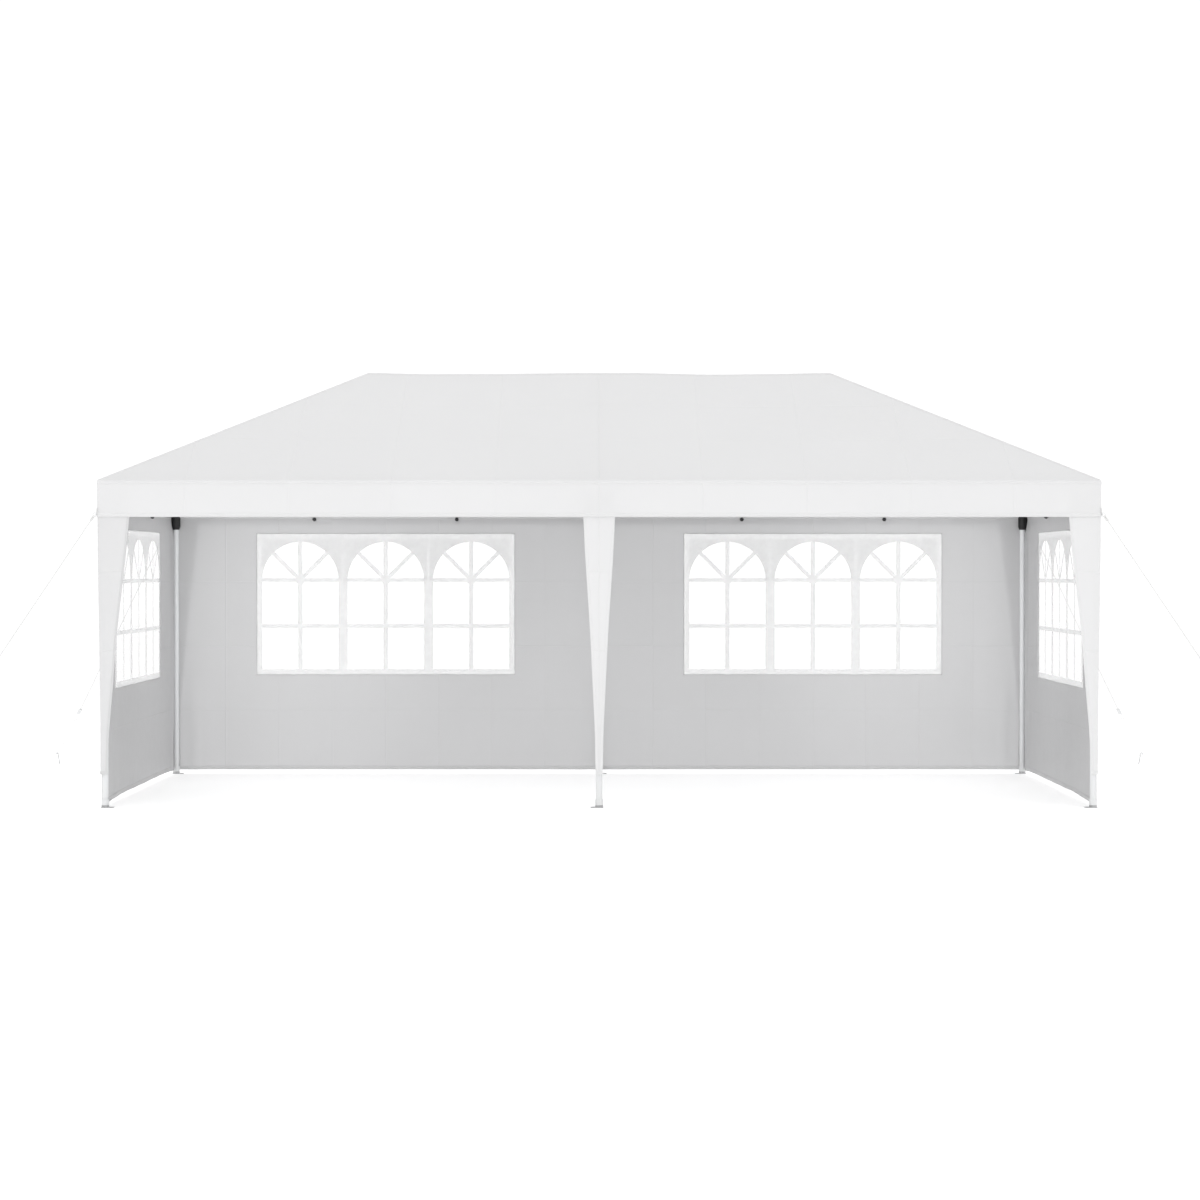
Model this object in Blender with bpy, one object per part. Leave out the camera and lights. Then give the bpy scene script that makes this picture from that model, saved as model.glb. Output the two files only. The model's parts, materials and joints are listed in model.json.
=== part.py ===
"""A white frame party tent, 6 m long and 3 m deep, with six legs and a hipped cloth roof.

The front is open. The back has two hanging walls and each end has one, every wall with a clear
three-light window. Metres, +Z up, origin on the ground under the middle of the tent, +Y to the back.
"""

import math

import bmesh
import bpy
from mathutils import Vector

# Sizes of the whole tent
CANOPY_LENGTH = 6.0
CANOPY_DEPTH = 3.0
EAVE_HEIGHT = 1.96
RIDGE_HEIGHT = 2.70
VALANCE_DROP = 0.215
ROOF_SAG = 0.02

# Steel tubes and their joints
TUBE_RADIUS = 0.019
SOCKET_RADIUS = 0.0235
SOCKET_REACH = 0.14
TUBE_STOP = 0.058
COLLAR_RADIUS = 0.031
COLLAR_TOP = 1.787
COLLAR_BOTTOM = 1.725
LEG_SOCKET_BOTTOM = 1.705
COLLAR_SLOPE = 0.014

# Feet
PLATE_THICKNESS = 0.003
PLATE_INWARD = 0.052
PLATE_OUTWARD = 0.025
PLATE_HALF_WIDTH = 0.035
PLATE_CORNER = 0.010
FOOT_SOCKET_HEIGHT = 0.050
PEG_HOLE_RADIUS = 0.006
PEG_HOLE_INWARD = 0.040

# Cloth, drawn thicker than the real sheet
CLOTH = 0.003
WINDOW_FILM = 0.0015
COVER_TOP = 1.90
COVER_BOTTOM = 0.20
COVER_WIDTH_AT_VALANCE = 0.19
COVER_WIDTH_AT_BOTTOM = 0.045
WALL_TOP = 1.82
WALL_BOTTOM = 0.035
WINDOW_WIDTH = 1.81
WINDOW_BOTTOM = 0.69
WINDOW_TOP = 1.68
WINDOW_LAP = 0.010

# Guy ropes and pegs
ROPE_RADIUS = 0.003
ROPE_TOP_HEIGHT = 1.765
PEG_OUT = 0.96
PEG_RADIUS = 0.004
PEG_LEAN = math.radians(18)
PEG_HEIGHT = 0.075
PEG_HOOK_RADIUS = 0.014
PEG_HOOK_TURN = math.radians(170)
PEG_HOOK_STEPS = 7
ROPE_ON_PEG = 0.062

# Clearances
GAP = 0.0003
BORE_GAP = 0.0004
ROOF_GAP = 0.0008
PAST = 0.02

# Facets
TUBE_SIDES = 16
COLLAR_SIDES = 24
ROPE_SIDES = 10
GRID = 0.3

# Worked out from the sizes above
HALF_LENGTH = CANOPY_LENGTH / 2
HALF_DEPTH = CANOPY_DEPTH / 2
RIDGE_HALF = HALF_LENGTH - HALF_DEPTH
PITCH = math.atan2(RIDGE_HEIGHT - EAVE_HEIGHT, HALF_DEPTH)
VALANCE_BOTTOM = EAVE_HEIGHT - VALANCE_DROP
COVER_INSET = CLOTH + GAP
WALL_INSET = COVER_INSET + CLOTH + GAP
FILM_INSET = WALL_INSET + CLOTH + GAP
AXIS_INSET = FILM_INSET + COLLAR_RADIUS
LEG_X = HALF_LENGTH - AXIS_INSET
LEG_Y = HALF_DEPTH - AXIS_INSET
AXIS_BELOW_ROOF = (CLOTH + ROOF_GAP + SOCKET_RADIUS) / math.cos(PITCH)
NODE_HEIGHT = EAVE_HEIGHT + AXIS_INSET * math.tan(PITCH) - AXIS_BELOW_ROOF
RIDGE_AXIS = RIDGE_HEIGHT - AXIS_BELOW_ROOF
BORE_RADIUS = TUBE_RADIUS + BORE_GAP

SIDES = {"front": -1, "back": 1}
PLACES = {"left": -1, "middle": 0, "right": 1}
ENDS = {"left": -1, "right": 1}


def material(name, colour, roughness, metallic=0.0, alpha=1.0):
    """A plain Principled material."""
    made = bpy.data.materials.new(name)
    made.use_nodes = True
    shader = made.node_tree.nodes["Principled BSDF"]
    shader.inputs["Base Color"].default_value = (*colour, 1.0)
    shader.inputs["Roughness"].default_value = roughness
    shader.inputs["Metallic"].default_value = metallic
    shader.inputs["Alpha"].default_value = alpha
    return made


def new_object(name, mesh_data, finish):
    made = bpy.data.objects.new(name, mesh_data)
    bpy.context.scene.collection.objects.link(made)
    if finish is not None:
        mesh_data.materials.append(finish)
    return made


def object_from(name, bm, finish, smooth=False):
    """Closes a bmesh into an object with its faces turned outwards."""
    bmesh.ops.recalc_face_normals(bm, faces=bm.faces)
    mesh_data = bpy.data.meshes.new(name)
    bm.to_mesh(mesh_data)
    bm.free()
    if smooth:
        mesh_data.shade_smooth()
        mesh_data.set_sharp_from_angle(angle=math.radians(35))
    return new_object(name, mesh_data, finish)


def hide_helper(helper):
    helper.hide_render = True
    helper.display_type = "WIRE"
    return helper


def rod(name, start, end, radius, sides, finish):
    """A straight round bar from start to end."""
    span = end - start
    bm = bmesh.new()
    bmesh.ops.create_cone(
        bm, cap_ends=True, segments=sides, radius1=radius, radius2=radius, depth=span.length
    )
    made = object_from(name, bm, finish, smooth=True)
    made.location = (start + end) / 2
    made.rotation_mode = "QUATERNION"
    made.rotation_quaternion = span.to_track_quat("Z", "Y")
    return made


def turned(name, profile, sides, finish):
    """A solid turned about +Z from (radius, height) points that start and end on the axis."""
    bm = bmesh.new()
    points = [bm.verts.new((radius, 0, height)) for radius, height in profile]
    edges = [bm.edges.new(pair) for pair in zip(points, points[1:])]
    bmesh.ops.spin(
        bm, geom=points + edges, cent=(0, 0, 0), axis=(0, 0, 1), angle=math.tau, steps=sides
    )
    bmesh.ops.remove_doubles(bm, verts=bm.verts, dist=1e-6)
    return object_from(name, bm, finish, smooth=True)


def ball(name, centre, radius, finish):
    bm = bmesh.new()
    bmesh.ops.create_uvsphere(bm, u_segments=TUBE_SIDES, v_segments=8, radius=radius)
    made = object_from(name, bm, finish, smooth=True)
    made.location = centre
    return made


def combine(body, operation, helpers):
    """Joins or cuts body with helpers by one Boolean modifier."""
    group = bpy.data.collections.new(f"{body.name}_{operation.lower()}")
    for helper in helpers:
        group.objects.link(hide_helper(helper))
    modifier = body.modifiers.new(operation.title(), "BOOLEAN")
    modifier.operand_type = "COLLECTION"
    modifier.collection = group
    modifier.operation = operation
    modifier.solver = "EXACT"


def box(name, low, high, finish):
    """A block between two corners, with its place in its object."""
    low, high = Vector(low), Vector(high)
    bm = bmesh.new()
    bmesh.ops.create_cube(bm, size=1)
    bmesh.ops.scale(bm, vec=high - low, verts=bm.verts)
    made = object_from(name, bm, finish)
    made.location = (low + high) / 2
    return made


def thicken(made, thickness):
    """Gives a surface its thickness, on the inner side of its faces."""
    modifier = made.modifiers.new("Thickness", "SOLIDIFY")
    modifier.thickness = thickness
    modifier.offset = -1
    modifier.use_even_offset = True


def frame_nodes():
    """The points where the centre lines of the tubes meet."""
    nodes = {}
    for side, sy in SIDES.items():
        for place, sx in PLACES.items():
            nodes[f"{side}_{place}"] = Vector((sx * LEG_X, sy * LEG_Y, NODE_HEIGHT))
    for place, sx in PLACES.items():
        nodes[f"ridge_{place}"] = Vector((sx * RIDGE_HALF, 0, RIDGE_AXIS))
    return nodes


def roof_members():
    """Name, first node and second node of every rail, rafter and ridge tube."""
    members = []
    for side in SIDES:
        for end in ENDS:
            members.append((f"eave_rail_{side}_{end}", f"{side}_middle", f"{side}_{end}"))
            members.append((f"hip_rafter_{side}_{end}", f"{side}_{end}", f"ridge_{end}"))
        members.append((f"side_rafter_{side}", f"{side}_middle", "ridge_middle"))
    for end in ENDS:
        members.append((f"eave_rail_end_{end}", f"front_{end}", f"back_{end}"))
        members.append((f"ridge_tube_{end}", "ridge_middle", f"ridge_{end}"))
    return members


def build_tubes(nodes, finish):
    """The tubes of the roof, each stopping inside the socket at its ends."""
    for name, first, second in roof_members():
        start, end = nodes[first], nodes[second]
        along = (end - start).normalized()
        rod(name, start + TUBE_STOP * along, end - TUBE_STOP * along, TUBE_RADIUS, TUBE_SIDES, finish)


def leg_ends(node):
    """Top and bottom of the leg under a node."""
    top = node - Vector((0, 0, TUBE_STOP))
    bottom = Vector((node.x, node.y, PLATE_THICKNESS + GAP))
    return top, bottom


def build_leg(place, node, finish):
    top, bottom = leg_ends(node)
    rod(f"leg_{place}", bottom, top, TUBE_RADIUS, TUBE_SIDES, finish)


def arm_helpers(place, node, nodes):
    """The socket and the bore for each roof tube that meets at a node."""
    sockets, bores = [], []
    for name, first, second in roof_members():
        if place not in (first, second):
            continue
        other = nodes[second if place == first else first]
        along = (other - node).normalized()
        reach = node + SOCKET_REACH * along
        mouth = node + (SOCKET_REACH + PAST) * along
        stop = node + (TUBE_STOP - GAP) * along
        socket_radius = SOCKET_RADIUS - GAP
        ends = (node, reach) if place == first else (reach, node)
        sockets.append(rod(f"{place}_{name}_socket", *ends, socket_radius, TUBE_SIDES, None))
        ends = (stop, mouth) if place == first else (mouth, stop)
        bores.append(rod(f"{place}_{name}_bore", *ends, BORE_RADIUS, TUBE_SIDES, None))
    return sockets, bores


def leg_socket(place, node):
    """The long socket that holds a leg's top, with a thicker collar at its mouth."""
    profile = [
        (0, LEG_SOCKET_BOTTOM),
        (SOCKET_RADIUS, LEG_SOCKET_BOTTOM),
        (COLLAR_RADIUS, COLLAR_BOTTOM),
        (COLLAR_RADIUS, COLLAR_TOP),
        (SOCKET_RADIUS - GAP, COLLAR_TOP + COLLAR_SLOPE),
        (SOCKET_RADIUS - GAP, node.z),
        (0, node.z),
    ]
    made = turned(f"{place}_leg_socket", profile, COLLAR_SIDES, None)
    made.location = (node.x, node.y, 0)
    return made


def build_joint(name, place, nodes, finish):
    """One moulded joint: a round hub with a bored socket for every tube that meets there."""
    node = nodes[place]
    sockets, bores = arm_helpers(place, node, nodes)
    if not place.startswith("ridge"):
        sockets.append(leg_socket(place, node))
        top, bottom = leg_ends(node)
        top = top + Vector((0, 0, GAP))
        bores.append(rod(f"{place}_leg_bore", bottom, top, BORE_RADIUS, TUBE_SIDES, None))
    hub = ball(name, node, SOCKET_RADIUS, finish)
    combine(hub, "UNION", sockets)
    combine(hub, "DIFFERENCE", bores)


def build_foot(place, node, finish):
    """A steel plate with a short socket for the leg and a hole for a peg.

    A middle foot's plate points left at the front and right at the back.
    """
    pointing = node.x if node.x else -node.y
    inward = -1 if pointing > 0 else 1
    near = node.x - inward * PLATE_OUTWARD
    far = node.x + inward * PLATE_INWARD
    low = (min(near, far), node.y - PLATE_HALF_WIDTH, 0)
    high = (max(near, far), node.y + PLATE_HALF_WIDTH, PLATE_THICKNESS)
    plate = box(f"foot_{place}", low, high, finish)
    corners = plate.modifiers.new("Corners", "BEVEL")
    corners.width = PLATE_CORNER
    corners.segments = 3
    corners.limit_method = "WEIGHT"
    weights = plate.data.attributes.new("bevel_weight_edge", "FLOAT", "EDGE")
    for edge in plate.data.edges:
        first, second = (plate.data.vertices[index].co for index in edge.vertices)
        weights.data[edge.index].value = float(abs(first.z - second.z) > PLATE_THICKNESS / 2)
    base = Vector((node.x, node.y, PLATE_THICKNESS / 2))
    rim = Vector((node.x, node.y, FOOT_SOCKET_HEIGHT))
    socket = rod(f"foot_{place}_socket", base, rim, SOCKET_RADIUS, TUBE_SIDES, None)
    combine(plate, "UNION", [socket])
    seat = Vector((node.x, node.y, PLATE_THICKNESS))
    bore = rod(f"foot_{place}_bore", seat, rim + Vector((0, 0, PAST)), BORE_RADIUS, TUBE_SIDES, None)
    hole_x = node.x + inward * PEG_HOLE_INWARD
    hole = rod(
        f"foot_{place}_hole",
        Vector((hole_x, node.y, -PAST)),
        Vector((hole_x, node.y, PAST)),
        PEG_HOLE_RADIUS,
        ROPE_SIDES,
        None,
    )
    combine(plate, "DIFFERENCE", [bore, hole])


def roof_height(x, y):
    """Height of the roof cloth's upper side over a point of the plan, with its sag between tubes."""
    from_side = HALF_DEPTH - abs(y)
    from_end = HALF_LENGTH - abs(x)
    rise = min(from_side, from_end)
    if from_side <= from_end:
        across = abs(x) / (RIDGE_HALF + abs(y))
        slack = 4 * across * (1 - across)
    else:
        across = abs(y) / (abs(x) - RIDGE_HALF)
        slack = 1 - across**2
    up = rise / HALF_DEPTH
    return EAVE_HEIGHT + rise * math.tan(PITCH) - ROOF_SAG * slack * 4 * up * (1 - up)


def roof_cell(bm, verts, i, j, columns, rows):
    """One cell of the roof's grid, split along the hip where a hip crosses it."""
    corners = [verts[i, j], verts[i + 1, j], verts[i + 1, j + 1], verts[i, j + 1]]
    from_end = min(i, columns - 1 - i)
    from_side = min(j, rows - 1 - j)
    if from_end != from_side:
        bm.faces.new(corners)
        return
    turned_hip = (i < columns / 2) != (j < rows / 2)
    if turned_hip:
        corners = corners[1:] + corners[:1]
    bm.faces.new((corners[0], corners[1], corners[2]))
    bm.faces.new((corners[0], corners[2], corners[3]))


def build_roof(finish):
    """The roof cloth and its valance, sewn as one cover."""
    columns, rows = round(CANOPY_LENGTH / GRID), round(CANOPY_DEPTH / GRID)
    bm = bmesh.new()
    verts = {}
    for i in range(columns + 1):
        for j in range(rows + 1):
            x, y = i * GRID - HALF_LENGTH, j * GRID - HALF_DEPTH
            verts[i, j] = bm.verts.new((x, y, roof_height(x, y)))
    for i in range(columns):
        for j in range(rows):
            roof_cell(bm, verts, i, j, columns, rows)
    eave = [edge for edge in bm.edges if len(edge.link_faces) == 1]
    hem = bmesh.ops.extrude_edge_only(bm, edges=eave)["geom"]
    hem_verts = [item for item in hem if isinstance(item, bmesh.types.BMVert)]
    bmesh.ops.translate(bm, vec=(0, 0, -VALANCE_DROP), verts=hem_verts)
    thicken(object_from("roof_cover", bm, finish), CLOTH)


def cover_width(height):
    """Width of a leg cover's flap, which narrows evenly below the valance."""
    down = max(0.0, (VALANCE_BOTTOM - height) / (VALANCE_BOTTOM - COVER_BOTTOM))
    return COVER_WIDTH_AT_VALANCE + down * (COVER_WIDTH_AT_BOTTOM - COVER_WIDTH_AT_VALANCE)


def build_corner_cover(name, sx, sy, finish):
    """A tapered cover in two flaps that meet at the tent's corner."""
    x, y = sx * (HALF_LENGTH - COVER_INSET), sy * (HALF_DEPTH - COVER_INSET)
    bm = bmesh.new()
    levels = []
    for height in (COVER_BOTTOM, VALANCE_BOTTOM, COVER_TOP):
        width = cover_width(height)
        levels.append(
            [
                bm.verts.new((x - sx * width, y, height)),
                bm.verts.new((x, y, height)),
                bm.verts.new((x, y - sy * width, height)),
            ]
        )
    for lower, upper in zip(levels, levels[1:]):
        for k in range(2):
            bm.faces.new((lower[k], lower[k + 1], upper[k + 1], upper[k]))
    made = object_from(name, bm, finish)
    outward = Vector((0, sy, 0))
    if made.data.polygons[0].normal.dot(outward) < 0:
        made.data.flip_normals()
    thicken(made, CLOTH)


def build_middle_cover(name, sy, finish):
    """A flat tapered cover that hangs outside a middle leg."""
    outer = sy * (HALF_DEPTH - COVER_INSET)
    inner = outer - sy * CLOTH
    bm = bmesh.new()
    outline = []
    rising = (COVER_BOTTOM, VALANCE_BOTTOM, COVER_TOP)
    for sx, heights in ((-1, rising), (1, rising[::-1])):
        for height in heights:
            outline.append(bm.verts.new((sx * cover_width(height) / 2, outer, height)))
    face = bm.faces.new(outline)
    grown = bmesh.ops.extrude_face_region(bm, geom=[face])["geom"]
    moved = [item for item in grown if isinstance(item, bmesh.types.BMVert)]
    bmesh.ops.translate(bm, vec=(0, inner - outer, 0), verts=moved)
    object_from(name, bm, finish)


def panel_with_window(name, low, high, middle, finish):
    """A hanging wall in the XZ plane between two corners, with its window cut through."""
    half = WINDOW_WIDTH / 2 - WINDOW_LAP
    wall = box(name, low, high, finish)
    cutter = box(
        f"{name}_cutter",
        (middle - half, low[1] - PAST, WINDOW_BOTTOM + WINDOW_LAP),
        (middle + half, high[1] + PAST, WINDOW_TOP - WINDOW_LAP),
        None,
    )
    combine(wall, "DIFFERENCE", [cutter])
    return wall, cutter


def build_back_wall(end, sx, cloth, film):
    """Half of the back: one wall from the corner to the middle leg, and its window film."""
    outer = HALF_DEPTH - WALL_INSET
    near, far = sx * GAP, sx * (HALF_LENGTH - FILM_INSET)
    low_x, high_x = min(near, far), max(near, far)
    middle = sx * LEG_X / 2
    panel_with_window(
        f"back_wall_{end}",
        (low_x, outer - CLOTH, WALL_BOTTOM),
        (high_x, outer, WALL_TOP),
        middle,
        cloth,
    )
    face = HALF_DEPTH - FILM_INSET
    box(
        f"back_window_{end}",
        (middle - WINDOW_WIDTH / 2, face - WINDOW_FILM, WINDOW_BOTTOM),
        (middle + WINDOW_WIDTH / 2, face, WINDOW_TOP),
        film,
    )


def build_end_wall(end, sx, cloth, film):
    """The wall of one end and its window film, drawn across +X and turned to face the end."""
    outer = HALF_LENGTH - WALL_INSET
    half = HALF_DEPTH - WALL_INSET
    wall, cutter = panel_with_window(
        f"end_wall_{end}", (-half, outer - CLOTH, WALL_BOTTOM), (half, outer, WALL_TOP), 0, cloth
    )
    face = HALF_LENGTH - FILM_INSET
    window = box(
        f"end_window_{end}",
        (-WINDOW_WIDTH / 2, face - WINDOW_FILM, WINDOW_BOTTOM),
        (WINDOW_WIDTH / 2, face, WINDOW_TOP),
        film,
    )
    for piece in (wall, cutter, window):
        piece.location = (sx * piece.location.y, 0, piece.location.z)
        piece.rotation_euler.z = math.radians(90)


def peg_foot(sx, sy):
    """Where a peg enters the ground."""
    return Vector((sx * (HALF_LENGTH + PEG_OUT), sy * (HALF_DEPTH + PEG_OUT), 0))


def peg_lean(outward):
    """The direction a peg leans: up and away from the tent."""
    return math.sin(PEG_LEAN) * outward + Vector((0, 0, math.cos(PEG_LEAN)))


def build_peg(name, sx, sy, finish):
    """The part of a hooked steel peg that stands out of the ground, leaning away from the tent."""
    outward = Vector((sx, sy, 0)).normalized()
    lean = peg_lean(outward)
    across = lean.cross(Vector((-outward.y, outward.x, 0)))
    foot = peg_foot(sx, sy)
    top = foot + PEG_HEIGHT * lean
    centre = top - PEG_HOOK_RADIUS * across
    path = [(foot, lean), (top, lean)]
    for step in range(1, PEG_HOOK_STEPS + 1):
        turn = step * PEG_HOOK_TURN / PEG_HOOK_STEPS
        place = centre + PEG_HOOK_RADIUS * (math.cos(turn) * across + math.sin(turn) * lean)
        path.append((place, math.cos(turn) * lean - math.sin(turn) * across))
    level = lean.cross(across)
    bm = bmesh.new()
    rings = []
    for place, along in path:
        other = along.cross(level)
        ring = []
        for k in range(ROPE_SIDES):
            angle = math.tau * k / ROPE_SIDES
            spot = place + PEG_RADIUS * (math.cos(angle) * level + math.sin(angle) * other)
            if place == foot:
                spot -= spot.z / lean.z * lean
            ring.append(bm.verts.new(spot))
        rings.append(ring)
    for lower, upper in zip(rings, rings[1:]):
        for k in range(ROPE_SIDES):
            after = (k + 1) % ROPE_SIDES
            bm.faces.new((lower[k], lower[after], upper[after], upper[k]))
    bm.faces.new(rings[0])
    bm.faces.new(rings[-1])
    object_from(name, bm, finish, smooth=True)


def rope_ends(sx, sy):
    """Top and bottom of a guy rope's centre line, from the canopy's corner to the peg's neck."""
    outward = Vector((sx, sy, 0)).normalized()
    lean = peg_lean(outward)
    corner = Vector((sx * HALF_LENGTH, sy * HALF_DEPTH, ROPE_TOP_HEIGHT))
    neck = peg_foot(sx, sy) + ROPE_ON_PEG * lean
    along = (neck - corner).normalized()
    fall = -along.z
    across = math.hypot(along.x, along.y)
    start = corner + (ROPE_RADIUS * fall + GAP) * outward
    toward_peg = math.cos(PEG_LEAN) * across + math.sin(PEG_LEAN) * fall
    sideways = math.sqrt(1 - toward_peg**2)
    back = (PEG_RADIUS + GAP + ROPE_RADIUS * sideways) / toward_peg
    return start, neck - back * (neck - start).normalized()


def main():
    for old in list(bpy.data.objects):
        bpy.data.objects.remove(old)
    white_steel = material("white_steel", (0.83, 0.84, 0.85), 0.35)
    black_plastic = material("black_plastic", (0.02, 0.02, 0.022), 0.45)
    zinc = material("zinc", (0.42, 0.43, 0.44), 0.45, metallic=0.9)
    roof_cloth = material("roof_cloth", (0.86, 0.86, 0.86), 0.55)
    wall_cloth = material("wall_cloth", (0.80, 0.80, 0.80), 0.55)
    clear_film = material("clear_film", (0.95, 0.96, 0.97), 0.08, alpha=0.3)
    rope_yarn = material("rope_yarn", (0.88, 0.88, 0.88), 0.8)

    nodes = frame_nodes()
    build_tubes(nodes, white_steel)
    for side in SIDES:
        for place in PLACES:
            where = f"{side}_{place}"
            build_leg(where, nodes[where], white_steel)
            build_foot(where, nodes[where], zinc)
            joint = "side_joint" if place == "middle" else "corner_joint"
            name = f"{joint}_{side}" if place == "middle" else f"{joint}_{where}"
            build_joint(name, where, nodes, black_plastic)
    for place in PLACES:
        build_joint(f"ridge_joint_{place}", f"ridge_{place}", nodes, black_plastic)

    build_roof(roof_cloth)
    for side, sy in SIDES.items():
        build_middle_cover(f"leg_cover_{side}_middle", sy, roof_cloth)
        for end, sx in ENDS.items():
            build_corner_cover(f"leg_cover_{side}_{end}", sx, sy, roof_cloth)
            name = f"{side}_{end}"
            build_peg(f"peg_{name}", sx, sy, zinc)
            rod(f"guy_rope_{name}", *rope_ends(sx, sy), ROPE_RADIUS, ROPE_SIDES, rope_yarn)
    for end, sx in ENDS.items():
        build_back_wall(end, sx, wall_cloth, clear_film)
        build_end_wall(end, sx, wall_cloth, clear_film)


main()
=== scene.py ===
"""The looks of a white party tent, 3 m by 6 m: its cloth, windows, ropes and finishes."""

import json
import math

import bpy
from mathutils import Matrix, Vector, noise


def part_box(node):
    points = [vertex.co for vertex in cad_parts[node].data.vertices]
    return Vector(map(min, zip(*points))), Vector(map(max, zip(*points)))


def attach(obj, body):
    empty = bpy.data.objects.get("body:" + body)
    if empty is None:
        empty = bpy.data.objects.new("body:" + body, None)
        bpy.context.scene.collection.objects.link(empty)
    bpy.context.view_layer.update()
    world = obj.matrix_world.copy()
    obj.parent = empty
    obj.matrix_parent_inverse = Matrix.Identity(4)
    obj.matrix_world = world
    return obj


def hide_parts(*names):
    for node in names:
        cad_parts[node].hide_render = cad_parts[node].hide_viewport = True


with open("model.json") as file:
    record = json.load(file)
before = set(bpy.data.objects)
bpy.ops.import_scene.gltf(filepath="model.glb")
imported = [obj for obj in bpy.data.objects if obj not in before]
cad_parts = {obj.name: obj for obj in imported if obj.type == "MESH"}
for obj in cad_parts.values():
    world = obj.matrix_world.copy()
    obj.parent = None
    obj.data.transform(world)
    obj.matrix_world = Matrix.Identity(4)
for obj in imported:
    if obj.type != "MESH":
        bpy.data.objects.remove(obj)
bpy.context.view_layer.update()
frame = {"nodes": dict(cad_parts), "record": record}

SIDES = {"front": -1, "back": 1}
PLACES = {"left": -1, "middle": 0, "right": 1}
ENDS = {"left": -1, "right": 1}
UP = Vector((0, 0, 1))

# Places read from the frame
ROOF_LOW, ROOF_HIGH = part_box("roof_cover")
HALF_LENGTH = ROOF_HIGH.x
HALF_DEPTH = ROOF_HIGH.y
RIDGE_HEIGHT = ROOF_HIGH.z
VALANCE_BOTTOM = ROOF_LOW.z
RAIL_LOW, RAIL_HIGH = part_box("eave_rail_back_left")
RAIL_RADIUS = (RAIL_HIGH.z - RAIL_LOW.z) / 2
RAIL_HEIGHT = RAIL_LOW.z + RAIL_RADIUS
RAIL_DEPTH = RAIL_LOW.y + RAIL_RADIUS

# Roof cloth
EAVE_HEIGHT = 1.96
VALANCE_DROP = EAVE_HEIGHT - VALANCE_BOTTOM + 0.004
SLOPE = (RIDGE_HEIGHT - EAVE_HEIGHT) / HALF_DEPTH
RIDGE_HALF = HALF_LENGTH - HALF_DEPTH
ROOF_CELL = 0.05
ROOF_SAG = 0.014
RIDGE_DIP = 0.008
CLOTH = 0.001
HEM = 0.0008
VALANCE_ROWS = (0.008, 0.03, 0.06, 0.095, 0.13, 0.165, 0.195, VALANCE_DROP)
VALANCE_FLARE = 0.004
# Width of each seam and how far it stands off the cloth
HIP_SEAM = (0.026, 0.0011)
RIDGE_SEAM = (0.030, 0.0014)

# Leg covers
COVER_LOW, COVER_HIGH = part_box("leg_cover_front_left")
COVER_WIDE = 0.19
COVER_NARROW = 0.045
COVER_LEAN = 0.012
COVER_WAIST = 0.017
COVER_ROWS = 40
COVER_X, COVER_Y = -COVER_LOW.x, -COVER_LOW.y

# Walls
WALL_CELL = 0.035
WALL_RIPPLE = 0.008
WALL_DRAWN = 0.0128
WALL_TO_FILM = 0.0020
WALL_SLACK = 0.008
FRONT_DROP = 0.020
FOLD = 0.007
FOLD_FROM_EDGE = 0.135
FOLD_WIDTH = 0.030
TIED_BACK = 0.026
TUCK = 0.018
TUCK_FROM_EDGE = 0.085
TUCK_WIDTH = 0.025
WINDOW_LAP = 0.004
WALL_TOP_HEM = 0.040
WALL_FOOT_HEM = 0.024
WALL_EDGE_HEM = 0.020
CUT_EDGE = 0.0005

# Printed window pattern, one light of three
BORDER = 0.040
LIGHT_PITCH = 0.5985
LIGHT_HALF = 0.268
SPRING_LINE = 1.354
LOWER_BAR = 1.032
BAR_ACROSS = 0.026
BAR_UP = 0.030
SPOKE = 0.025
HUB_RADIUS = 0.030
MULLION_STRIP = 0.020
PRINT = 0.0004
PRINT_OFF_FILM = 0.0018
CLEAR = 0.01
# Bars that cross have unlike thicknesses, so that none of their faces share a plane, and are cut level
BAR_PROUD, UPRIGHT_PROUD, JAMB_PROUD, SPOKE_PROUD = 0.002, 0.003, 0.004, 0.006
SPOKE_STEP = 0.001

# Bungee balls
BALL_RADIUS = 0.0135
BALL_HEIGHT = 1.778
EYELET_HEIGHT = 1.792
EYELET_RADIUS = 0.0075
EYELET_WIRE = 0.0022
BUNGEE_CORD = 0.002
LOOP_HALF = 0.0034

# Guy ropes
ROPE_RADIUS = 0.003
ROPE_TURN = 0.032
RUNNER_FROM_PEG = 0.42
RING_RADIUS = 0.012
RING_WIRE = 0.0020
KNOT_RADIUS, KNOT_PITCH, KNOT_CORD = 0.0055, 0.0052, 0.0027
PEG_BEND = 0.0075
RUNNER_HALF = Vector((0.024, 0.016, 0.0018))
RUNNER_HOLE = 0.0037
RUNNER_HOLES = ((-0.014, 0.0), (0.013, -0.009), (0.013, 0.009))
TAB_WIDTH = 0.012
TAB_LENGTH = 0.040


def let_go():
    """Leaves edit mode and selects nothing."""
    if bpy.context.object and bpy.context.object.mode != "OBJECT":
        bpy.ops.object.mode_set(mode="OBJECT")
    bpy.ops.object.select_all(action="DESELECT")


def take(*pieces):
    """Selects these pieces alone, the first of them active."""
    let_go()
    for piece in pieces:
        piece.select_set(True)
    bpy.context.view_layer.objects.active = pieces[0]


def start(add, name, **how):
    """A new primitive, named."""
    let_go()
    add(**how)
    piece = bpy.context.object
    piece.name = piece.data.name = name
    return piece


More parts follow.
